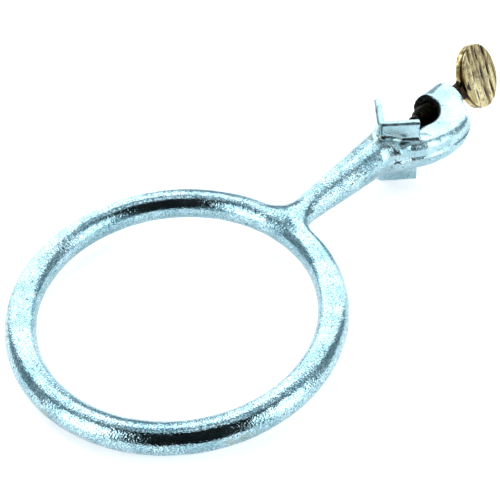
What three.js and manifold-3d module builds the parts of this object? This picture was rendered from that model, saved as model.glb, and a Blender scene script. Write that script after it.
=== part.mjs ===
// A laboratory support ring with a rod clamp: a cast ring on a short stem that ends in a clamp for an
// upright rod. The rod stands in a vee jaw, a hook reaches round its right side, and a thumbscrew in
// the boss at the hook's end presses the rod into the vee.
//
// Lengths are in millimetres. X runs along the stem from the ring to the thumbscrew, Z along the rod.
// Every X below is measured from the ring's centre. The last group puts the origin in the middle of
// the object's bounding box.

import * as THREE from "three";
import { mergeVertices } from "three/addons/utils/BufferGeometryUtils.js";
import Module from "manifold-3d";

const wasm = await Module();
wasm.setup();

// ---------- driving dimensions ----------

const GAP = 0.3; // air between two pieces that meet

const ring = { centreRadius: 55.7, barRadius: 5.7 };

const stem = {
  profile: [[58, 5.2], [72, 5.6], [92, 7.1], [110, 8], [115, 8.2]], // [x, radius], thinnest near the ring
  webHalfWidth: 4.9, // the flat web that spreads the stem's root into the ring
  webHalfHeight: 3,
  webEndX: 84,
  leftFillet: 10,
  rightFillet: 16,
};

const vee = {
  outerRootX: 111.8, // the two outer faces meet here, square to each other
  wall: 3,
  length: 16.8, // along the outer face, from its root to the tip
  tipRound: 1.5,
  halfHeight: 15,
};

const hook = {
  halfHeight: 6.2,
  rootX: 107, // the arm leaves the stem's right side here
  rootY: -4,
  outerX: 140.4, // centre and radius of the round outer side
  outerY: -3.2,
  outerRadius: 17,
  armReach: 27, // long half axis of the oval that the arm's outer side follows back to the stem
  armStart: THREE.MathUtils.degToRad(-146),
  innerX: 124.2, // start of the side that faces the rod
  innerY: -8.3,
  boreX: 137, // centre and radius of the round hollow behind the rod
  boreRadius: 9.6,
  wall: 1, // least metal between the hollow and the boss's own cylinder
};

const boss = { radius: 7.7, startX: 140, endX: 160, endRound: 2.6 };

const screw = {
  tipX: 135.8,
  tipRadius: 3.4,
  tipChamfer: 0.5,
  shankStartX: 138.6,
  shankLead: 1, // length of the cone that starts the thread
  shankRadius: 4.7, // crest of a 3/8 inch thread
  shankRunOut: 0.6,
  shankEndX: 158,
  holeClearance: 0.2,
  neckRadius: 3.3,
};

const paddle = {
  centreX: 179,
  radius: 13.9,
  thickness: 4.1,
  rimRound: 0.8,
  lean: THREE.MathUtils.degToRad(29.5), // of its plane from upright
  cant: THREE.MathUtils.degToRad(14.5), // the cast head sits a little askew on its shank
  neckInset: 4, // how far the neck runs into the disc's edge
  neckChamfer: 1.5,
};

// ---------- materials ----------

const zincPlate = new THREE.MeshStandardMaterial({ color: 0x9fc3cf, roughness: 0.42, metalness: 0.9 });
const brass = new THREE.MeshStandardMaterial({ color: 0xb5a268, roughness: 0.4, metalness: 0.95 });
const darkBrass = new THREE.MeshStandardMaterial({ color: 0x3c3423, roughness: 0.5, metalness: 0.9 });

// ---------- solids and booleans ----------

function toSolid(geometry) {
  const bare = geometry.clone();
  bare.deleteAttribute("normal");
  bare.deleteAttribute("uv");
  const merged = mergeVertices(bare);
  const vertProperties = new Float32Array(merged.attributes.position.array);
  const triVerts = new Uint32Array(merged.index.array);
  return new wasm.Manifold(new wasm.Mesh({ numProp: 3, vertProperties, triVerts }));
}

function toGeometry(solid) {
  const { vertProperties, triVerts } = solid.getMesh();
  const geometry = new THREE.BufferGeometry();
  geometry.setAttribute("position", new THREE.BufferAttribute(vertProperties, 3));
  geometry.setIndex(new THREE.BufferAttribute(triVerts, 1));
  geometry.computeVertexNormals();
  return geometry;
}

// A body turned about the X axis, from [x, radius] points that start and end on the axis.
function turnedAboutX(points, segments) {
  const profile = points.map(([x, radius]) => new THREE.Vector2(radius, x));
  return toSolid(new THREE.LatheGeometry(profile, segments).rotateZ(-Math.PI / 2));
}

// A flat outline in XY made into a slab that reaches halfHeight above and below the XY plane.
function slab(shape, halfHeight, curveSegments = 12) {
  const options = { depth: 2 * halfHeight, bevelEnabled: false, curveSegments };
  return toSolid(new THREE.ExtrudeGeometry(shape, options).translate(0, 0, -halfHeight));
}

// ---------- the casting ----------

// The ring's round bar; grown adds to the bar's radius.
function ringSolid(grown = 0) {
  const bar = new THREE.Path().absarc(ring.centreRadius, 0, ring.barRadius + grown, 0, 2 * Math.PI);
  return toSolid(new THREE.LatheGeometry(bar.getPoints(10), 72).rotateX(Math.PI / 2));
}

// One side of the web in plan: a hollow fillet, tangent to the ring's bar and to the web's side.
function filletArc(radius) {
  const ringRadius = ring.centreRadius + ring.barRadius / 2;
  const centreY = stem.webHalfWidth + radius;
  const centreX = Math.sqrt((ringRadius + radius) ** 2 - centreY ** 2);
  return { centreX, centreY, start: Math.atan2(-centreY, -centreX) };
}

function webShape() {
  const left = filletArc(stem.leftFillet);
  const right = filletArc(stem.rightFillet);
  const shape = new THREE.Shape();
  shape.absarc(left.centreX, left.centreY, stem.leftFillet, left.start, -Math.PI / 2);
  shape.lineTo(stem.webEndX, stem.webHalfWidth);
  shape.lineTo(stem.webEndX, -stem.webHalfWidth);
  shape.absarc(right.centreX, -right.centreY, stem.rightFillet, Math.PI / 2, -right.start);
  shape.closePath();
  return shape;
}

function stemSolid(grown = 0) {
  const endX = stem.profile.at(-1)[0];
  const outline = stem.profile.map(([x, radius]) => [x === endX ? x + grown : x, radius + grown]);
  return turnedAboutX([[stem.profile[0][0], 0], ...outline, [endX + grown, 0]], 32);
}

// Both walls of the vee in plan, with chamfered tips; grown adds air all round. Each point is given
// along a wall's outer face from its root, and by its depth behind that face.
function veeShape(grown = 0) {
  const point = (along, depth, side) => [
    vee.outerRootX + (along + depth) / Math.SQRT2,
    side * (along - depth) / Math.SQRT2,
  ];
  const tip = vee.length + grown;
  const wallPoints = (side) => [
    point(tip - vee.tipRound, -grown, side),
    point(tip, vee.tipRound - grown, side),
    point(tip, vee.wall - vee.tipRound + grown, side),
    point(tip - vee.tipRound, vee.wall + grown, side),
  ];
  const outerRoot = point(-grown, -grown, 1);
  const innerRoot = point(vee.wall + grown, vee.wall + grown, 1);
  const outline = [outerRoot, ...wallPoints(-1), innerRoot, ...wallPoints(1).reverse()];
  return new THREE.Shape(outline.map(([x, y]) => new THREE.Vector2(x, y)));
}

function veeSolid(grown = 0) {
  return slab(veeShape(grown), vee.halfHeight + grown);
}

// The hook in plan: from the stem's right side round the rod to the boss on the stem's line.
function hookShape() {
  const shape = new THREE.Shape();
  shape.moveTo(hook.rootX, hook.rootY);
  shape.lineTo(vee.outerRootX, hook.innerY);
  shape.absellipse(hook.outerX, hook.outerY, hook.armReach, hook.outerRadius, hook.armStart, -Math.PI / 2);
  shape.absarc(hook.outerX, hook.outerY, hook.outerRadius, -Math.PI / 2, 0);
  shape.lineTo(hook.outerX + hook.outerRadius, boss.radius / 2);
  shape.lineTo(hook.boreX + hook.boreRadius + hook.wall, boss.radius / 2);
  shape.absarc(hook.boreX, 0, hook.boreRadius, 0, -Math.PI / 2, true);
  shape.lineTo(hook.innerX, hook.innerY);
  shape.lineTo(vee.outerRootX + vee.wall * Math.SQRT2, hook.rootY / 2);
  shape.closePath();
  return shape;
}

function bossSolid() {
  const cut = boss.endRound * (1 - Math.SQRT1_2); // from the square corner to the middle of the round
  return turnedAboutX([
    [boss.startX, 0],
    [boss.startX, boss.radius],
    [boss.endX - boss.endRound, boss.radius],
    [boss.endX - cut, boss.radius - cut],
    [boss.endX, boss.radius - boss.endRound],
    [boss.endX, 0],
  ], 40);
}

// The upright round hollow in which the rod's far side stands.
function boreSolid() {
  const circle = new THREE.Shape().absarc(hook.boreX, 0, hook.boreRadius, 0, 2 * Math.PI);
  return slab(circle, 2 * hook.halfHeight, 24);
}

function screwHole() {
  const radius = screw.shankRadius + screw.holeClearance;
  const endX = boss.endX + GAP;
  return turnedAboutX([[hook.boreX, 0], [hook.boreX, radius], [endX, radius], [endX, 0]], 48);
}

function hookSolid() {
  return slab(hookShape(), hook.halfHeight)
    .add(bossSolid())
    .subtract(boreSolid())
    .subtract(screwHole())
    .subtract(veeSolid(GAP))
    .subtract(stemSolid(GAP));
}

// ---------- the thumbscrew ----------

function screwTip() {
  return turnedAboutX([
    [screw.tipX, 0],
    [screw.tipX, screw.tipRadius - screw.tipChamfer],
    [screw.tipX + screw.tipChamfer, screw.tipRadius],
    [screw.shankStartX - GAP, screw.tipRadius],
    [screw.shankStartX - GAP, 0],
  ], 32);
}

function screwShank() {
  return turnedAboutX([
    [screw.shankStartX, 0],
    [screw.shankStartX, screw.tipRadius],
    [screw.shankStartX + screw.shankLead, screw.shankRadius],
    [screw.shankEndX - screw.shankRunOut, screw.shankRadius],
    [screw.shankEndX, screw.neckRadius],
    [screw.shankEndX, 0],
  ], 48);
}

function screwHead() {
  const half = paddle.thickness / 2;
  const disc = new THREE.LatheGeometry([
    new THREE.Vector2(0, -half),
    new THREE.Vector2(paddle.radius - paddle.rimRound, -half),
    new THREE.Vector2(paddle.radius, paddle.rimRound - half),
    new THREE.Vector2(paddle.radius, half - paddle.rimRound),
    new THREE.Vector2(paddle.radius - paddle.rimRound, half),
    new THREE.Vector2(0, half),
  ], 56);
  disc.rotateX(-paddle.lean).rotateZ(paddle.cant).translate(paddle.centreX, 0, 0);
  const neckEnd = paddle.centreX - paddle.radius + paddle.neckInset;
  const neck = turnedAboutX([
    [screw.shankEndX + GAP, 0],
    [screw.shankEndX + GAP, screw.neckRadius],
    [neckEnd - paddle.neckChamfer, screw.neckRadius],
    [neckEnd, screw.neckRadius - paddle.neckChamfer],
    [neckEnd, 0],
  ], 32);
  return toSolid(disc).add(neck);
}

// ---------- assembly ----------

function piece(name, solid, material) {
  const mesh = new THREE.Mesh(toGeometry(solid), material);
  mesh.name = name;
  return mesh;
}

const web = slab(webShape(), stem.webHalfHeight);
const stemWithWeb = stemSolid().add(web).subtract(ringSolid(GAP)).subtract(veeSolid(GAP));

const supportRing = new THREE.Group();
supportRing.add(
  piece("support_ring", ringSolid(), zincPlate),
  piece("stem", stemWithWeb, zincPlate),
  piece("vee_jaw", veeSolid(), zincPlate),
  piece("hook_jaw", hookSolid(), zincPlate),
  piece("screw_tip", screwTip(), darkBrass),
  piece("screw_shank", screwShank(), darkBrass),
  piece("screw_head", screwHead(), brass),
);

const box = new THREE.Box3().setFromObject(supportRing);
supportRing.position.x = -(box.min.x + box.max.x) / 2;

export default supportRing;
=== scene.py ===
import math

import bpy
import numpy as np
from mathutils import Matrix, Vector


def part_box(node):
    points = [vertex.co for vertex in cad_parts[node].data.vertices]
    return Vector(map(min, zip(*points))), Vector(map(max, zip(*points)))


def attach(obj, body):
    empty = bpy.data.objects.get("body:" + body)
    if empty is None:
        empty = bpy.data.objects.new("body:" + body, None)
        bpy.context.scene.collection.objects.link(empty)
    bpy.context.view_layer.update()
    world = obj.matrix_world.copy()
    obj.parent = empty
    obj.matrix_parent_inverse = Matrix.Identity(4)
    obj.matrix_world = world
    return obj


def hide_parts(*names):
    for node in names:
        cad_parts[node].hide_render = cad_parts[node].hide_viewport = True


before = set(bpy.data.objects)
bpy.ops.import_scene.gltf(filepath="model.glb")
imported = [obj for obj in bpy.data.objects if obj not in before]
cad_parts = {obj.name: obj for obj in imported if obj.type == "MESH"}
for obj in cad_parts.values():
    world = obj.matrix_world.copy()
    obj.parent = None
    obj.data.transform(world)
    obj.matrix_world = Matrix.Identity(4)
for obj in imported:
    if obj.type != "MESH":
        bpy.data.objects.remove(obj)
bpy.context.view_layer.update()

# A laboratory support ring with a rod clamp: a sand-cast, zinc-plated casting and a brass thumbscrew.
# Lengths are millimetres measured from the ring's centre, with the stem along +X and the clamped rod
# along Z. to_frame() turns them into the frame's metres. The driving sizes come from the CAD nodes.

MM = 0.001


def box_mm(node):
    """A CAD node's lowest and highest corners, in millimetres, in the frame's own axes."""
    low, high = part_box(node)
    return np.array(low) / MM, np.array(high) / MM


# ---------- driving sizes, from the CAD model ----------

ring_low, ring_high = box_mm("support_ring")
vee_low, vee_high = box_mm("vee_jaw")
hook_high = box_mm("hook_jaw")[1]
tip_low, tip_high = box_mm("screw_tip")
shank_low, shank_high = box_mm("screw_shank")
head_low, head_high = box_mm("screw_head")

RING_X = (ring_low[0] + ring_high[0]) / 2  # the ring's centre in the frame
BAR_RADIUS = ring_high[2]
RING_RADIUS = ring_high[1] - BAR_RADIUS  # to the middle of the bar

VEE_ROOT_X = vee_low[0] - RING_X
VEE_HALF_HEIGHT = vee_high[2]
BOSS_RADIUS = hook_high[2]
BOSS_END_X = hook_high[0] - RING_X
TIP_X = tip_low[0] - RING_X
TIP_END_X = tip_high[0] - RING_X
TIP_RADIUS = tip_high[2]
SHANK_X = shank_low[0] - RING_X
SHANK_END_X = shank_high[0] - RING_X
SHANK_RADIUS = shank_high[2]
HEAD_X = head_low[0] - RING_X

# ---------- sizes of the casting ----------

GRID_STEP = 0.5  # of the distance field that the casting's skin is drawn from
STEM_PROFILE = [(58, 4.4), (64, 5.2), (72, 5.6), (92, 7.1), (104, 7.8), (118, 8.7)]  # (x, radius)
STEM_END_ROUND = 2.5
STEM_FILLET = 8.5  # where the stem runs into the ring
WALL = 3.0  # thickness of the vee's walls
WALL_LENGTH = 16.8
WALL_ROUND = 0.5
WALL_FILLET = 2.0  # where the walls stand on the stem and the arm
VEE_ROOT_FLAT = 1.0  # the outer corner between the walls is cut back this far
VEE_CUT_ROUND = 0.4
CLAMP_START_X = 96.0  # from here on the clamp is part of the field
CLAMP_BLEND = 6.0
ARM_HALF_HEIGHT = 6.7
ARM_ROUND = 3.8
ARM_INNER_Y = -8.3
ARM_FILLET = 3.0  # between the arm and the stem
ARM_ROOT = [(112.0, 2.0), (108.5, -4.5), (113.5, -10.4)]  # where the arm grows out of the stem, in plan
HOOK_X, HOOK_Y, HOOK_RADIUS = 140.4, -3.2, 17.0  # round outer side of the hook
ARM_REACH = 27.0  # long half axis of the oval that the arm follows back to the stem
BORE_X, BORE_Y, BORE_RADIUS = 137.0, 1.0, 10.0  # upright hollow that the rod's far side stands in
BORE_LIP = 1.0
BORE_TO_ARM = [(-5.0, BOSS_RADIUS / 2), (-15.0, -4.0)]  # (x from the bore's middle, y)
BOSS_START_X = 136.0
BOSS_ROUND = 2.4
BOSS_FILLET = 4.5
SEAM_HEIGHT = 0.95  # of the parting line along the hook's outer side
SEAM_WIDTH = 0.7
SEAM_START_Y = -6.0
SEAM_FADE = 4.0
HOLE_CLEARANCE = 0.15
HOLE_ROUND = 0.5

# Unevenness of cast skins, as (height, spacing, seed) layers; spots are (centre, reach).
CASTING_LUMPS = [(0.06, 7.0, 1), (0.035, 2.4, 2)]
CASTING_TOP = 0.03  # lumps are cut off above this
CASTING_SINK = 0.05  # and the whole skin is sunk by this, so that it stays inside the CAD box
CLAMP_LUMPS = [(0.16, 4.5, 5)]
CLAMP_LUMPS_START_X = 106.0
CLAMP_LUMPS_FADE = 8.0
WELD_LUMPS = [(0.45, 4.0, 3), (0.15, 1.8, 4)]
HEAD_LUMPS = [(0.06, 4.0, 21), (0.03, 1.5, 22)]
HEAD_TOP = 0.02
HEAD_SINK = 0.06
WELD = ((116, -7, 5), (10, 6, 6))
# a spot of painted shade on the hollow's thin far lip
LIP_SHADE = ((143, 7.5, 3), (6, 5, 6))
GRIME = [
    (0.6, ((114, -5, 7), (13, 10, 9))),  # the arm's root
    (0.9, ((112, 4, 10), (7, 8, 10))),  # the crook behind the left wall
    (0.5, ((156, -1, 6), (9, 9, 8))),  # the boss's end
]
SCUFF_PATCHES = (9.0, 11)  # spacing and seed
SCUFF_END_X = 50.0  # the ring's scuffs stop before the stem
# Painted shade, near black: along the top edges of the vee's outer faces, in the upright hollow and over
# its lip, and on the vee's inner faces.
CREASE_SHADE_PATCHES = (1.6, 12)
CREASE_DEPTH = 0.1
HOLLOW_SHADE_RIM = 0.9  # how far the painted shade comes up over the hollow's lip
HOLLOW_START_X = VEE_ROOT_X + 16
SEAT_SHADE = 0.5
DULL_START_X = 102.0
DULL_FADE = 20.0
DULLEST = 0.65

# ---------- sizes of the thumbscrew ----------

PITCH = 1.5875  # 16 turns to the inch
THREAD_STEPS = 12  # rings of points for each turn
THREAD_FLANK = 1.25  # how quickly the flanks fall, so that crest and root both keep a small flat
THREAD_ROOT_FLAT = 0.1
TIP_ROUND = 0.5
TIP_CROWN = 0.02
THREAD_DEPTH = 0.8
NECK_RADIUS = 3.3
HEAD_CENTRE_X = 179.0
HEAD_RADIUS = 13.9
HEAD_THICKNESS = 4.1
HEAD_LEAN = math.radians(29.5)  # of the head's plane from upright
HEAD_CANT = math.radians(14.5)  # the head sits a little askew on its neck
RIM_GROOVE = 0.5
RIM_GROOVE_WIDTH = 0.5
RIM_GROOVE_FACE = -0.9  # the groove runs nearer to one face
RIM_ROUND = 0.6
NECK_INSET = 4.0  # how far the neck runs into the head
NECK_ROUND = 0.5
NECK_FILLET = 2.2
HEAD_STEP = 0.35
MARK_ANGLE = math.radians(18)  # of the file marks, from the head's upright line
SCORES = [(6.4, 0.35), (0.4, 0.18), (-6.0, 0.12)]  # old score lines on the faces: (offset, depth)
SCORE_WIDTH = 0.45

# ---------- camera and light: metres and degrees, but the lens in millimetres ----------

VIEW_AZIMUTH = -44.0
VIEW_ELEVATION = 45.32
VIEW_ROLL = math.radians(-3.46)
VIEW_DISTANCE = 0.4492
VIEW_AIM = Vector((-0.0268, 0.0011, 0))
VIEW_LENS = 86.77
SKY_COLOUR = (0.60, 0.70, 0.76)
SKY_STRENGTH = 0.65
# (name, azimuth from the camera, elevation, distance, size, brightness as seen in a mirror)
SOFTBOXES = [
    ("front_left", -58, 25, 1.0, (0.55, 1.3), 2.8),
    ("rear_left", -146, 30, 1.0, (0.9, 1.3), 2.2),
    ("front_right", 58, 25, 1.0, (0.55, 1.3), 2.8),
    ("rear_right", 146, 30, 1.0, (0.9, 1.3), 2.2),
    ("top", 0, 88, 1.2, (0.5, 0.5), 1.3),
]
CARD_SIZE = (0.94, 1.44)
CARD_ELEVATION = 43
CARD_DISTANCE = 0.8
FLOOR_SIZE = 2.4
FLOOR_GAP = 0.0004  # of air under the part


# ---------- distance fields: negative inside, in millimetres ----------

def smooth_union(a, b, radius):
    """The union of two fields with a fillet of about that radius where they meet."""
    h = np.clip(0.5 + 0.5 * (b - a) / radius, 0, 1)
    return b + (a - b) * h - radius * h * (1 - h)


def smooth_cut(a, b, radius):
    """Field a less field b, with a rounded edge."""
    return -smooth_union(-a, b, radius)


def rounded(parts, radius):
    """The field of a body that is inside in every one of parts, with rounded outer edges."""
    grown = [part + radius for part in parts]
    deepest = grown[0]
    outside = np.maximum(grown[0], 0) ** 2
    for part in grown[1:]:
        deepest = np.maximum(deepest, part)
        outside = outside + np.maximum(part, 0) ** 2
    return np.minimum(deepest, 0) + np.sqrt(outside) - radius


def ring_field(x, y, z):
    return np.hypot(np.hypot(x, y) - RING_RADIUS, z) - BAR_RADIUS


def stem_field(x, y, z):
    stations, radii = zip(*STEM_PROFILE)
    bar = np.hypot(y, z) - np.interp(x, stations, radii)
    return rounded([bar, stations[0] - x, x - stations[-1]], STEM_END_ROUND)


def vee_wall_field(x, y, z, side):
    """One flat wall of the vee; side is 1 for the left wall and -1 for the right one."""
    along = ((x - VEE_ROOT_X) + side * y) / math.sqrt(2)
    depth = ((x - VEE_ROOT_X) - side * y) / math.sqrt(2)
    across = np.abs(depth - WALL / 2) - WALL / 2
    ends = np.abs(along - WALL_LENGTH / 2) - WALL_LENGTH / 2
    root = VEE_ROOT_X + VEE_ROOT_FLAT - x
    return rounded([across, ends, root, np.abs(z) - VEE_HALF_HEIGHT], WALL_ROUND)


def arc(centre, radii, start, end, count):
    """Points along part of an oval; the angles are in degrees."""
    angles = np.radians(np.linspace(start, end, count, endpoint=False))
    return [(centre[0] + radii[0] * math.cos(a), centre[1] + radii[1] * math.sin(a)) for a in angles]


def hook_outline():
    """The hook in plan, before the upright hollow is cut out of it."""
    arm = arc((HOOK_X, HOOK_Y), (ARM_REACH, HOOK_RADIUS), -146, -90, 14)
    end = arc((HOOK_X, HOOK_Y), (HOOK_RADIUS, HOOK_RADIUS), -90, 0, 20)
    boss = [(HOOK_X + HOOK_RADIUS, BOSS_RADIUS / 2)]
    back = [(BORE_X + along, y) for along, y in BORE_TO_ARM]
    return ARM_ROOT + arm + end + boss + back


def outline_distance(x, y, outline):
    """The signed distance to a closed outline in plan."""
    points = np.array(outline)
    nearest = np.full(x.shape, np.inf)
    crossings = np.zeros(x.shape, int)
    for a, b in zip(points, np.roll(points, -1, axis=0)):
        edge = b - a
        share = ((x - a[0]) * edge[0] + (y - a[1]) * edge[1]) / (edge @ edge)
        share = np.clip(share, 0, 1)
        distance = np.hypot(x - a[0] - share * edge[0], y - a[1] - share * edge[1])
        nearest = np.minimum(nearest, distance)
        if a[1] != b[1]:
            across = (a[1] > y) != (b[1] > y)
            crossings += across & (x < a[0] + (y - a[1]) * edge[0] / edge[1])
    return np.where(crossings % 2 == 1, -nearest, nearest)


def hook_field(x, y, z):
    plan = outline_distance(x[:, :, :1], y[:, :, :1], hook_outline())
    arm = rounded([plan, np.abs(z) - ARM_HALF_HEIGHT], ARM_ROUND)
    outer_side = np.clip((SEAM_START_Y - y) / SEAM_FADE, 0, 1)
    seam = SEAM_HEIGHT * outer_side * np.exp(-((z / SEAM_WIDTH) ** 2))
    return arm - seam


def boss_field(x, y, z):
    middle = (BOSS_START_X + BOSS_END_X) / 2
    half = (BOSS_END_X - BOSS_START_X) / 2
    return rounded([np.hypot(y, z) - BOSS_RADIUS, np.abs(x - middle) - half], BOSS_ROUND)


def clamp_field(x, y, z):
    """Everything beyond the stem: the vee, the hook and the boss, with their hollows cut."""
    walls = np.minimum(vee_wall_field(x, y, z, 1), vee_wall_field(x, y, z, -1))
    hook = smooth_union(hook_field(x, y, z), boss_field(x, y, z), BOSS_FILLET)
    stem_and_hook = smooth_union(stem_field(x, y, z), hook, ARM_FILLET)
    body = smooth_union(stem_and_hook, walls, WALL_FILLET)
    inside_vee = np.maximum(VEE_ROOT_X + WALL * math.sqrt(2) + np.abs(y) - x, x - BORE_X)
    inside_vee = np.maximum(inside_vee, ARM_INNER_Y - y)
    body = smooth_cut(body, inside_vee, VEE_CUT_ROUND)
    bore = np.hypot(x - BORE_X, y - BORE_Y) - BORE_RADIUS
    body = smooth_cut(body, bore, BORE_LIP)
    hole = np.maximum(np.hypot(y, z) - SHANK_RADIUS - HOLE_CLEARANCE, BORE_X - x)
    return smooth_cut(body, hole, HOLE_ROUND)


def casting_field(x, y, z):
    """The whole casting: ring, stem and clamp as one body."""
    field = smooth_union(ring_field(x, y, z), stem_field(x, y, z), STEM_FILLET)
    first = int(np.searchsorted(x[:, 0, 0], CLAMP_START_X))
    far = slice(first, None)
    clamp = clamp_field(x[far], y[far], z[far])
    shares = np.clip((x[far] - CLAMP_START_X) / CLAMP_BLEND, 0, 1)
    field[far] = field[far] * (1 - shares) + clamp * shares
    return field


# ---------- from fields to meshes ----------

EDGES = [
    (corner, axis)
    for axis in range(3)
    for corner in [(i, j, k) for i in (0, 1) for j in (0, 1) for k in (0, 1)]
    if corner[axis] == 0
]


def net_vertices(field, cells):
    """For each cell that the surface passes through, the mean of the surface's crossings of its edges."""
    total = np.zeros((len(cells), 3))
    hits = np.zeros(len(cells))
    for corner, axis in EDGES:
        start = cells + corner
        end = start.copy()
        end[:, axis] += 1
        a = field[tuple(start.T)]
        b = field[tuple(end.T)]
        crossed = (a < 0) != (b < 0)
        share = np.where(crossed, a / np.where(crossed, a - b, 1), 0)
        point = np.array(corner, float) + share[:, None] * np.eye(3)[axis]
        total += point * crossed[:, None]
        hits += crossed
    return cells + total / hits[:, None]


def net_faces(inside, index):
    """One quad round each grid edge that crosses the surface."""
    faces = []
    for axis in range(3):
        u, v = (axis + 1) % 3, (axis + 2) % 3
        low = np.moveaxis(inside, axis, 0)[:-1]
        high = np.moveaxis(inside, axis, 0)[1:]
        spots = np.argwhere(np.moveaxis(low != high, 0, axis))
        starts_inside = np.moveaxis(low, 0, axis)[tuple(spots.T)]
        step_u, step_v = np.eye(3, dtype=int)[u], np.eye(3, dtype=int)[v]
        quad = [spots - step_u - step_v, spots - step_v, spots, spots - step_u]
        quad = np.stack([index[tuple(corner.T)] for corner in quad], axis=1)
        quad[~starts_inside] = quad[~starts_inside][:, ::-1]
        faces.append(quad)
    return np.concatenate(faces)


def surface_of(field_of, low, high, step):
    """A quad mesh of the zero surface of a field over a box, by surface nets."""
    axes = [np.arange(a, b + step, step) for a, b in zip(low, high)]
    x, y, z = np.meshgrid(*axes, indexing="ij", sparse=True)
    x, y, z = np.broadcast_arrays(x, y, z)
    field = field_of(x, y, z)
    inside = field < 0
    wide, deep, tall = np.array(inside.shape) - 1
    count = np.zeros((wide, deep, tall), int)
    for i, j, k in np.ndindex(2, 2, 2):
        count += inside[i:i + wide, j:j + deep, k:k + tall]
    cells = np.argwhere((count > 0) & (count < 8))
    index = np.full(inside.shape, -1)
    index[tuple(cells.T)] = np.arange(len(cells))
    vertices = np.array(low) + step * net_vertices(field, cells)
    return vertices, net_faces(inside, index)


def lattice_noise(points, spacing, seed):
    """Smooth seeded noise from -1 to 1, with features about spacing wide."""
    size = 32
    lattice = np.random.default_rng(seed).uniform(-1, 1, (size, size, size))
    scaled = points / spacing
    whole = np.floor(scaled).astype(int)
    part = scaled - whole
    part = part * part * (3 - 2 * part)
    value = np.zeros(len(points))
    for corner in np.ndindex(2, 2, 2):
        weight = np.prod(np.where(corner, part, 1 - part), axis=1)
        value += weight * lattice[tuple(((whole + corner) % size).T)]
    return value


def lumps(points, layers):
    """How far a cast skin stands out at each point: the sum of (height, spacing, seed) layers."""
    return sum(height * lattice_noise(points, spacing, seed) for height, spacing, seed in layers)


def to_frame(points):
    """Millimetres from the ring's centre into the frame's metres."""
    return (np.asarray(points, float) + (RING_X, 0, 0)) * MM


def add_object(name, data):
    piece = bpy.data.objects.new(name, data)
    bpy.context.scene.collection.objects.link(piece)
    return piece


def new_mesh(name, vertices, faces, material):
    """A mesh object in the frame, from points in millimetres."""
    mesh = bpy.data.meshes.new(name)
    mesh.from_pydata(to_frame(vertices).tolist(), [], [list(map(int, face)) for face in faces])
    mesh.update()
    mesh.shade_smooth()
    mesh.materials.append(material)
    return add_object(name, mesh)


def vertex_normals(vertices, faces):
    diagonal_a = vertices[faces[:, 2]] - vertices[faces[:, 0]]
    diagonal_b = vertices[faces[:, 3]] - vertices[faces[:, 1]]
    face_normals = np.cross(diagonal_a, diagonal_b)
    normals = np.zeros_like(vertices)
    for corner in range(4):
        np.add.at(normals, faces[:, corner], face_normals)
    return normals / np.linalg.norm(normals, axis=1, keepdims=True)


def near(points, spot):
    """1 at a spot's centre, falling smoothly to 0 at its reach."""
    centre, reach = spot
    distance = np.linalg.norm((points - np.array(centre)) / np.array(reach), axis=1)
    return np.clip(1 - distance, 0, 1) ** 2 * (1 + 2 * np.clip(distance, 0, 1))


# ---------- pieces ----------

def make_casting(material):
    """Ring, stem and clamp as one skin; its lumps go inwards, so that it stays inside the CAD box."""
    margin = 3 * GRID_STEP
    reach = RING_RADIUS + BAR_RADIUS + margin
    low = (-reach, -reach, -VEE_HALF_HEIGHT - margin)
    high = (BOSS_END_X + margin, reach, VEE_HALF_HEIGHT + margin)
    vertices, faces = surface_of(casting_field, low, high, GRID_STEP)
    normals = vertex_normals(vertices, faces)
    rough = lumps(vertices, CASTING_LUMPS)
    beyond_stem = np.clip((vertices[:, 0] - CLAMP_LUMPS_START_X) / CLAMP_LUMPS_FADE, 0, 1)
    rough += beyond_stem * lumps(vertices, CLAMP_LUMPS)
    rough += near(vertices, WELD) * lumps(vertices, WELD_LUMPS)
    outward = np.minimum(rough, CASTING_TOP) - CASTING_SINK
    vertices = vertices + normals * outward[:, None]
    casting = new_mesh("casting", vertices, faces, material)
    store(casting, "dirt_and_shade", dirt_amount(vertices))
    # painted shade in the hollow, along the vee's top edges and on its inner faces
    store(casting, "painted_shade", painted_shade_amount(vertices))
    store(casting, "dull", dull_amount(vertices))
    return casting


def store(piece, name, values):
    """Keeps one number for each vertex, for the piece's material to read."""
    attribute = piece.data.attributes.new(name, "FLOAT", "POINT")
    attribute.data.foreach_set("value", np.asarray(values, np.float32))


def within(value, edge, fade):
    """1 where a value is well under an edge, falling to 0 over the last fade before the edge."""
    return np.clip((edge - value) / fade, 0, 1)


def hollow_shade(points):
    """Painted shade, near black, in the upright hollow, the screw's hole and on the thin far lip."""
    x, y, z = points.T
    hollow = within(np.hypot(x - BORE_X, y - BORE_Y), BORE_RADIUS + HOLLOW_SHADE_RIM, 0.5)
    hollow = hollow * (np.abs(z) < BOSS_RADIUS)
    hole = within(np.hypot(y, z), SHANK_RADIUS + HOLE_ROUND + 0.1, 0.4) * (x > BORE_X)
    painted_shade = np.maximum(np.maximum(hollow, hole), 1.6 * near(points, LIP_SHADE))
    return np.clip(painted_shade, 0, 1) * (x > HOLLOW_START_X)


def crease_shade(points):
    """Painted shade: a dark line along the top edge of each of the vee's outer faces, where the edge shadow
    falls.
    """
    x, y, z = points.T
    depth = (x - VEE_ROOT_X - np.abs(y)) / math.sqrt(2)
    crease = within(np.abs(depth - CREASE_DEPTH), 0.8, 0.5)
    crease = crease * (np.abs(z - VEE_HALF_HEIGHT + 0.4) < 0.7) * (x > VEE_ROOT_X + VEE_ROOT_FLAT)
    return crease * (0.75 + 0.25 * lattice_noise(points, *CREASE_SHADE_PATCHES))


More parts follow.
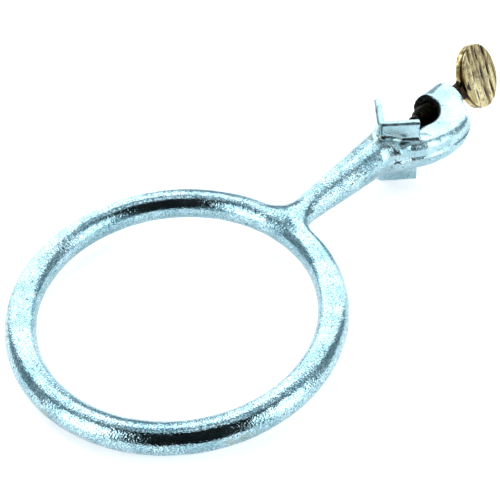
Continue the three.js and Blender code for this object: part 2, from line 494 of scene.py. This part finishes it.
def seat_shade(points):
    """Painted shade that darkens the vee's inner faces."""
    x, y, z = points.T
    depth = (x - VEE_ROOT_X - np.abs(y)) / math.sqrt(2)
    rubbed = within(np.abs(depth - WALL), 1.4, 1.0) * (np.abs(z) < VEE_HALF_HEIGHT - 0.2)
    return SEAT_SHADE * rubbed * (x > VEE_ROOT_X + WALL) * (x < VEE_ROOT_X + WALL_LENGTH)


def painted_shade_amount(points):
    """How strongly painted shade darkens the casting, from 0 to 1: in the hollow, along the vee's top edges
    and on its inner faces.
    """
    hollow_and_crease_shade = np.maximum(hollow_shade(points), crease_shade(points))
    return np.maximum(hollow_and_crease_shade, seat_shade(points))


def dirt_amount(points):
    """Where grease and grime have gathered on the casting, from 0 to 1."""
    clamp = sum(amount * near(points, spot) for amount, spot in GRIME)
    radius = np.hypot(points[:, 0], points[:, 1])
    outer_edge = 1 - within(radius, RING_RADIUS + 0.86 * BAR_RADIUS + 0.6, 0.6)
    scuffs = np.clip(lattice_noise(points, *SCUFF_PATCHES) - 0.1, 0, 1)
    rim = outer_edge * scuffs * (points[:, 0] < SCUFF_END_X)
    return np.clip(clamp + 0.8 * rim, 0, 1)


def dull_amount(points):
    """The plating grows duller from the stem to the clamp."""
    return np.clip((points[:, 0] - DULL_START_X) / DULL_FADE, 0, DULLEST)


def round_mesh(stations, radius_at, segments):
    """A closed body about the X axis; radius_at gives its radius for arrays of x and angle."""
    angles = np.linspace(0, 2 * math.pi, segments, endpoint=False)
    x, angle = np.meshgrid(stations, angles, indexing="ij")
    radius = radius_at(x, angle)
    vertices = np.stack([x, radius * np.cos(angle), radius * np.sin(angle)], axis=-1).reshape(-1, 3)
    faces = []
    for ring in range(len(stations) - 1):
        for j in range(segments):
            a = ring * segments + j
            b = ring * segments + (j + 1) % segments
            faces.append((a, a + segments, b + segments, b))
    last = (len(stations) - 1) * segments
    faces.append(tuple(range(segments)))
    faces.append(tuple(range(last + segments - 1, last - 1, -1)))
    return vertices, faces


def make_screw_tip(material):
    turn = np.linspace(0, math.pi / 2, 5)
    edge_x = TIP_X + TIP_ROUND * (1 - np.cos(turn))
    edge_radius = TIP_RADIUS - TIP_ROUND * (1 - np.sin(turn))
    stations = np.concatenate([[TIP_X + TIP_CROWN], edge_x, [TIP_END_X, TIP_END_X]])
    radii = np.concatenate([[TIP_RADIUS * 0.4], edge_radius, [TIP_RADIUS, TIP_RADIUS / 2]])
    vertices, faces = round_mesh(stations, lambda x, angle: np.tile(radii[:, None], angle.shape[1]), 48)
    return new_mesh("screw_point", vertices, faces, material)


def thread_radius(x, angle):
    """A rounded 60 degree thread that runs out at both ends of the shank."""
    phase = (x / PITCH + angle / (2 * math.pi)) % 1.0
    wave = np.clip(THREAD_FLANK * np.abs(2 * phase - 1) - THREAD_ROOT_FLAT, 0, 1)
    start = np.clip((x - SHANK_X) / PITCH, 0, 1)
    end = np.clip((SHANK_END_X - x) / PITCH, 0, 1)
    crest = SHANK_RADIUS - (1 - np.minimum(start, end)) * (SHANK_RADIUS - NECK_RADIUS)
    return np.minimum(SHANK_RADIUS - THREAD_DEPTH * (1 - wave), crest)


def make_screw_shank(material):
    stations = np.arange(SHANK_X, SHANK_END_X, PITCH / THREAD_STEPS)
    vertices, faces = round_mesh(stations, thread_radius, 72)
    return new_mesh("threaded_shank", vertices, faces, material)


def head_axes():
    """The head's own axes as rows: across its face, out of its face, and up its face."""
    turn = Matrix.Rotation(HEAD_CANT, 3, "Z") @ Matrix.Rotation(-HEAD_LEAN, 3, "X")
    return np.array(turn.transposed())


def mark_axes(across, up):
    """The head's two face axes, turned to run across the file marks and along them."""
    sideways = math.cos(MARK_ANGLE) * across - math.sin(MARK_ANGLE) * up
    lengthwise = math.cos(MARK_ANGLE) * up + math.sin(MARK_ANGLE) * across
    return sideways, lengthwise


def head_scores(across, up):
    """How deep the old score lines are, in millimetres, over the head's faces."""
    sideways, lengthwise = mark_axes(across, up)
    depth = 0 * across
    for offset, deepest in SCORES:
        wander = 0.25 * np.sin(lengthwise / 2.1 + offset)
        strength = np.clip(0.6 + 0.6 * np.sin(lengthwise / 1.3 + 2 * offset), 0, 1)
        line = np.exp(-(((sideways - offset - wander) / SCORE_WIDTH) ** 2))
        depth = np.maximum(depth, deepest * strength * line)
    return depth


def head_field(x, y, z):
    across, face, up = [row[0] * (x - HEAD_CENTRE_X) + row[1] * y + row[2] * z for row in head_axes()]
    distance = np.hypot(across, up)
    scores = head_scores(across, up)
    rim_groove = RIM_GROOVE * np.exp(-(((face - RIM_GROOVE_FACE) / RIM_GROOVE_WIDTH) ** 2))
    faces = np.abs(face) - HEAD_THICKNESS / 2 + scores
    disc = rounded([distance - HEAD_RADIUS + rim_groove, faces], RIM_ROUND)
    neck_middle = (HEAD_X + HEAD_CENTRE_X - HEAD_RADIUS + NECK_INSET) / 2
    neck_half = neck_middle - HEAD_X
    neck = rounded([np.hypot(y, z) - NECK_RADIUS, np.abs(x - neck_middle) - neck_half], NECK_ROUND)
    return smooth_union(disc, neck, NECK_FILLET)


def make_screw_head(material):
    low = np.array([head_low[0] - RING_X, head_low[1], head_low[2]]) - 3 * HEAD_STEP
    high = np.array([head_high[0] - RING_X, head_high[1], head_high[2]]) + 3 * HEAD_STEP
    vertices, faces = surface_of(head_field, low, high, HEAD_STEP)
    normals = vertex_normals(vertices, faces)
    dents = np.minimum(lumps(vertices, HEAD_LUMPS), HEAD_TOP) - HEAD_SINK
    vertices = vertices + normals * dents[:, None]
    head = new_mesh("thumbscrew_head", vertices, faces, material)
    # tarnish, and painted shade at the neck and in the rim groove
    store(head, "dirt_and_shade", head_tarnish_and_shade(vertices))
    return head


def head_tarnish_and_shade(points):
    """Where the head is darkest: tarnish on the faces' middles and in the score lines, and painted shade at
    the neck and in the rim groove.
    """
    across, face, up = ((points - (HEAD_CENTRE_X, 0, 0)) @ head_axes().T).T
    distance = np.hypot(across, up)
    # painted shade where the neck runs into the head
    neck = within(points[:, 0], HEAD_CENTRE_X - 9, 1.5) * (distance > HEAD_RADIUS - 3.5)
    neck = neck * (np.hypot(points[:, 1], points[:, 2]) < NECK_RADIUS + 1.5)
    # painted shade in the rim groove
    groove = within(np.abs(face - RIM_GROOVE_FACE), 0.7, 0.5) * (distance > HEAD_RADIUS - 0.9)
    middle = 0.5 * within(distance, 7.0, 7.0)
    scored = np.clip(12 * head_scores(across, up), 0, 1)
    return np.maximum.reduce([neck, groove, middle, scored])


# ---------- materials ----------

class Nodes:
    """A short way to write a material's node tree."""

    def __init__(self, name):
        self.material = bpy.data.materials.new(name)
        self.material.use_nodes = True
        self.tree = self.material.node_tree
        self.shader = self.tree.nodes["Principled BSDF"]

    def add(self, kind, **settings):
        node = self.tree.nodes.new("ShaderNode" + kind)
        for key, value in settings.items():
            setattr(node, key, value)
        return node

    def link(self, source, target):
        self.tree.links.new(source, target)

    def place(self):
        """The object's own coordinates."""
        return self.add("TexCoord").outputs["Object"]

    def attribute(self, name):
        """A number kept for each vertex of the mesh."""
        return self.add("Attribute", attribute_name=name).outputs["Fac"]

    def noise(self, size_mm, detail=2.0, roughness=0.5):
        """Noise whose features are about size_mm wide."""
        return self.noise_at(self.place(), 1 / (size_mm * MM), detail, roughness)

    def streaks(self, axes, sizes_mm, detail):
        """Noise whose features have a size of their own along each of three axes."""
        place = self.place()
        joined = self.add("CombineXYZ")
        for socket, axis, size in zip(joined.inputs, axes, sizes_mm):
            dot = self.add("VectorMath", operation="DOT_PRODUCT")
            dot.inputs[1].default_value = [part / (size * MM) for part in axis]
            self.link(place, dot.inputs[0])
            self.link(dot.outputs["Value"], socket)
        return self.noise_at(joined.outputs["Vector"], 1.0, detail, 0.5)

    def noise_at(self, place, scale, detail, roughness):
        node = self.add("TexNoise")
        node.inputs["Scale"].default_value = scale
        node.inputs["Detail"].default_value = detail
        node.inputs["Roughness"].default_value = roughness
        self.link(place, node.inputs["Vector"])
        return node.outputs["Fac"]

    def ramp(self, value, stops):
        """A colour ramp through (position, colour) stops."""
        node = self.add("ValToRGB")
        ramp = node.color_ramp
        while len(ramp.elements) < len(stops):
            ramp.elements.new(0.5)
        for element, (position, colour) in zip(ramp.elements, stops):
            element.position = position
            element.color = (*colour, 1)
        self.link(value, node.inputs["Fac"])
        return node.outputs["Color"]

    def math(self, operation, a, b):
        node = self.add("Math", operation=operation, use_clamp=True)
        for socket, value in zip(node.inputs, (a, b)):
            if isinstance(value, (int, float)):
                socket.default_value = value
            else:
                self.link(value, socket)
        return node.outputs["Value"]

    def mix(self, share, a, b, blend_type="MIX"):
        """Colour a, going over to its blend with colour b as share goes from 0 to 1."""
        node = self.add("Mix", data_type="RGBA", blend_type=blend_type)
        if isinstance(share, (int, float)):
            node.inputs["Factor"].default_value = share
        else:
            self.link(share, node.inputs["Factor"])
        for socket, value in ((node.inputs["A"], a), (node.inputs["B"], b)):
            if isinstance(value, tuple):
                socket.default_value = (*value, 1)
            else:
                self.link(value, socket)
        return node.outputs["Result"]

    def bump(self, height, distance_mm, strength=1.0, under=None):
        node = self.add("Bump")
        node.inputs["Distance"].default_value = distance_mm * MM
        node.inputs["Strength"].default_value = strength
        self.link(height, node.inputs["Height"])
        if under is not None:
            self.link(under, node.inputs["Normal"])
        return node.outputs["Normal"]

    def set(self, **inputs):
        """Sets the shader's sockets from numbers, colours or links."""
        for name, value in inputs.items():
            socket = self.shader.inputs[name.replace("_", " ")]
            if isinstance(value, (int, float)):
                socket.default_value = value
            elif isinstance(value, tuple):
                socket.default_value = (*value, 1)
            else:
                self.link(value, socket)


def grey(level):
    return (level, level, level)


def zinc_plate():
    """Bright blue zinc over a sand-cast skin: fine grain, dark pits, grime in the corners, and near-black
    painted shade in the upright hollow, along the vee's top edges and on its inner faces.
    """
    n = Nodes("zinc_plate")
    dull = n.attribute("dull")
    painted_shade = n.attribute("painted_shade")
    tone = n.ramp(n.noise(9.0, 2), [(0.38, (0.35, 0.55, 0.62)), (0.62, (0.53, 0.73, 0.79))])
    grain = n.noise(0.42, 2, roughness=0.6)
    stops = [(0.37, (0.20, 0.28, 0.31)), (0.50, (0.66, 0.73, 0.76)), (0.63, (1.18, 1.15, 1.13))]
    speckle = n.mix(dull, n.ramp(grain, stops), (0.80, 0.82, 0.83))
    plated = n.mix(1.0, tone, speckle, "MULTIPLY")
    pits = n.ramp(n.noise(1.1, 1), [(0.27, grey(1.0)), (0.31, grey(0.0))])
    colour = n.mix(pits, plated, (0.05, 0.07, 0.07))
    patches = n.ramp(n.noise(2.2, 4), [(0.44, grey(0.0)), (0.56, grey(1.0))])
    # on the casting this attribute holds grime only
    grime = n.math("MULTIPLY", n.attribute("dirt_and_shade"), patches)
    colour = n.mix(grime, colour, (0.24, 0.24, 0.18))
    # near-black painted shade for the hollow, the vee's top edges and its inner faces
    painted_shade_colour = n.ramp(n.noise(1.4, 4), [(0.42, grey(0.004)), (0.72, (0.045, 0.05, 0.045))])
    colour = n.mix(painted_shade, colour, painted_shade_colour)
    polish = n.ramp(n.noise(3.0, 2), [(0.3, grey(0.08)), (0.7, grey(0.15))])
    roughness = n.mix(n.math("MAXIMUM", dull, grime), polish, grey(0.28))
    roughness = n.mix(painted_shade, roughness, grey(0.65))
    coarse = n.bump(n.noise(2.6, 1), 0.10, 0.7)
    fine = n.bump(n.noise(0.6, 1), 0.10, 1.0, under=coarse)
    n.set(Base_Color=colour, Metallic=1.0, Roughness=roughness, Normal=fine)
    return n.material


def cast_brass():
    """Pale brass with coarse file marks across the face, brown in the hollows."""
    n = Nodes("cast_brass")
    across, face, up = head_axes()
    crosswise, lengthwise = mark_axes(across, up)
    marks = n.streaks((crosswise, face, lengthwise), (2.7, 3.0, 26.0), 2)
    stops = [(0.34, (0.085, 0.048, 0.012)), (0.46, (0.32, 0.25, 0.10)), (0.64, (0.70, 0.62, 0.35))]
    tone = n.ramp(marks, stops)
    stains = n.ramp(n.noise(2.6, 5), [(0.52, grey(0.0)), (0.66, grey(0.75))])
    colour = n.mix(stains, tone, (0.14, 0.08, 0.035))
    # near-black tarnish, and painted shade at the neck and in the rim groove
    colour = n.mix(n.attribute("dirt_and_shade"), colour, (0.02, 0.013, 0.008))
    roughness = n.ramp(n.noise(1.2, 2), [(0.3, grey(0.20)), (0.7, grey(0.36))])
    normal = n.bump(n.noise(0.7, 3), 0.10, 0.8, under=n.bump(marks, 0.25, 1.0))
    n.set(Base_Color=colour, Metallic=1.0, Roughness=roughness, Normal=normal)
    return n.material


def dark_brass():
    """Near-black brass of the thread and the point: partly the brass's own dark tarnish, partly painted
    shade, as both sit in the hook's shadowed hollow.
    """
    n = Nodes("dark_brass")
    tone = n.ramp(n.noise(1.5, 4), [(0.50, (0.002, 0.002, 0.001)), (0.75, (0.022, 0.017, 0.009))])
    roughness = n.ramp(n.noise(0.9, 2), [(0.3, grey(0.35)), (0.7, grey(0.6))])
    normal = n.bump(n.noise(0.5, 3), 0.05, 0.8)
    n.set(Base_Color=tone, Metallic=1.0, Roughness=roughness, Normal=normal)
    return n.material


def floor_paper():
    n = Nodes("floor_paper")
    tone = n.ramp(n.noise(40.0, 3), [(0.3, grey(0.90)), (0.7, grey(0.92))])
    n.set(Base_Color=tone, Roughness=0.9, Emission_Color=(1.0, 1.0, 1.0), Emission_Strength=0.45)
    return n.material


def card_black():
    n = Nodes("card_black")
    tone = n.ramp(n.noise(60.0, 2), [(0.3, grey(0.010)), (0.7, grey(0.014))])
    n.set(Base_Color=tone, Roughness=1.0, Specular_IOR_Level=0.0)
    return n.material


# ---------- floor, light and camera ----------

def floor_tilt():
    """The part lies on the vee's lower end and on the far side of the ring, so its frame leans."""
    run = VEE_ROOT_X + RING_RADIUS
    return math.atan2(VEE_HALF_HEIGHT - BAR_RADIUS, run)


def plain_sheet(name, size, material):
    """A flat rectangle about the origin, facing up."""
    x, y = size[0] / 2, size[1] / 2
    mesh = bpy.data.meshes.new(name)
    mesh.from_pydata([(-x, -y, 0), (x, -y, 0), (x, y, 0), (-x, y, 0)], [], [(0, 1, 2, 3)])
    mesh.materials.append(material)
    return add_object(name, mesh)


def make_floor():
    floor = plain_sheet("floor", (FLOOR_SIZE, FLOOR_SIZE), floor_paper())
    ring_bottom = Vector(((RING_X - RING_RADIUS) * MM, 0, -BAR_RADIUS * MM - FLOOR_GAP))
    floor.matrix_world = Matrix.Translation(ring_bottom) @ Matrix.Rotation(floor_tilt(), 4, "Y")


def direction(azimuth, elevation):
    """The unit vector towards a viewer at that azimuth and elevation, in degrees."""
    a, e = math.radians(azimuth), math.radians(elevation)
    return Vector((math.sin(a) * math.cos(e), -math.cos(a) * math.cos(e), math.sin(e)))


def facing_centre(towards, distance):
    """The place and turn of a flat thing at that distance that faces the frame's origin."""
    return Matrix.Translation(towards * distance) @ towards.to_track_quat("Z", "Y").to_matrix().to_4x4()


def add_softbox(name, azimuth, elevation, distance, size, radiance):
    """A rectangular lamp; its brightness is given as seen in a mirror."""
    light = bpy.data.lights.new(name, "AREA")
    light.shape = "RECTANGLE"
    light.size, light.size_y = size
    light.energy = radiance * math.pi * size[0] * size[1]
    lamp = add_object(name, light)
    lamp.matrix_world = facing_centre(direction(VIEW_AZIMUTH + azimuth, elevation), distance)
    lamp.visible_camera = False


def add_dark_card():
    """The unlit opening that a light tent has behind its camera; polished metal shows it as a dark band."""
    card = plain_sheet("dark_card", CARD_SIZE, card_black())
    card.matrix_world = facing_centre(direction(VIEW_AZIMUTH, CARD_ELEVATION), CARD_DISTANCE)
    card.visible_camera = False


def make_camera():
    camera = add_object("camera", bpy.data.cameras.new("camera"))
    camera.data.lens = VIEW_LENS
    camera.data.clip_start = 0.01
    towards = direction(VIEW_AZIMUTH, VIEW_ELEVATION)
    turn = towards.to_track_quat("Z", "Y").to_matrix().to_4x4() @ Matrix.Rotation(VIEW_ROLL, 4, "Z")
    camera.matrix_world = Matrix.Translation(VIEW_AIM + towards * VIEW_DISTANCE) @ turn
    bpy.context.scene.camera = camera


def make_light():
    scene = bpy.context.scene
    scene.view_settings.view_transform = "Standard"
    world = bpy.data.worlds.new("surround")
    world.use_nodes = True
    background = world.node_tree.nodes["Background"]
    background.inputs["Color"].default_value = (*SKY_COLOUR, 1)
    background.inputs["Strength"].default_value = SKY_STRENGTH
    scene.world = world
    for softbox in SOFTBOXES:
        add_softbox(*softbox)
    add_dark_card()


# ---------- the scene ----------

zinc = zinc_plate()
brass = cast_brass()
# near-black brass for the thread and point, partly painted shade
thread_brass_and_shade = dark_brass()

casting = make_casting(zinc)
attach(casting, "casting")
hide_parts("support_ring", "stem", "vee_jaw", "hook_jaw")

screw_point = make_screw_tip(thread_brass_and_shade)
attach(screw_point, "screw_feed")
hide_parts("screw_tip")

threaded_shank = make_screw_shank(thread_brass_and_shade)
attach(threaded_shank, "thumbscrew")
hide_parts("screw_shank")

thumbscrew_head = make_screw_head(brass)
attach(thumbscrew_head, "thumbscrew")
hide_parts("screw_head")

make_floor()
make_light()
make_camera()
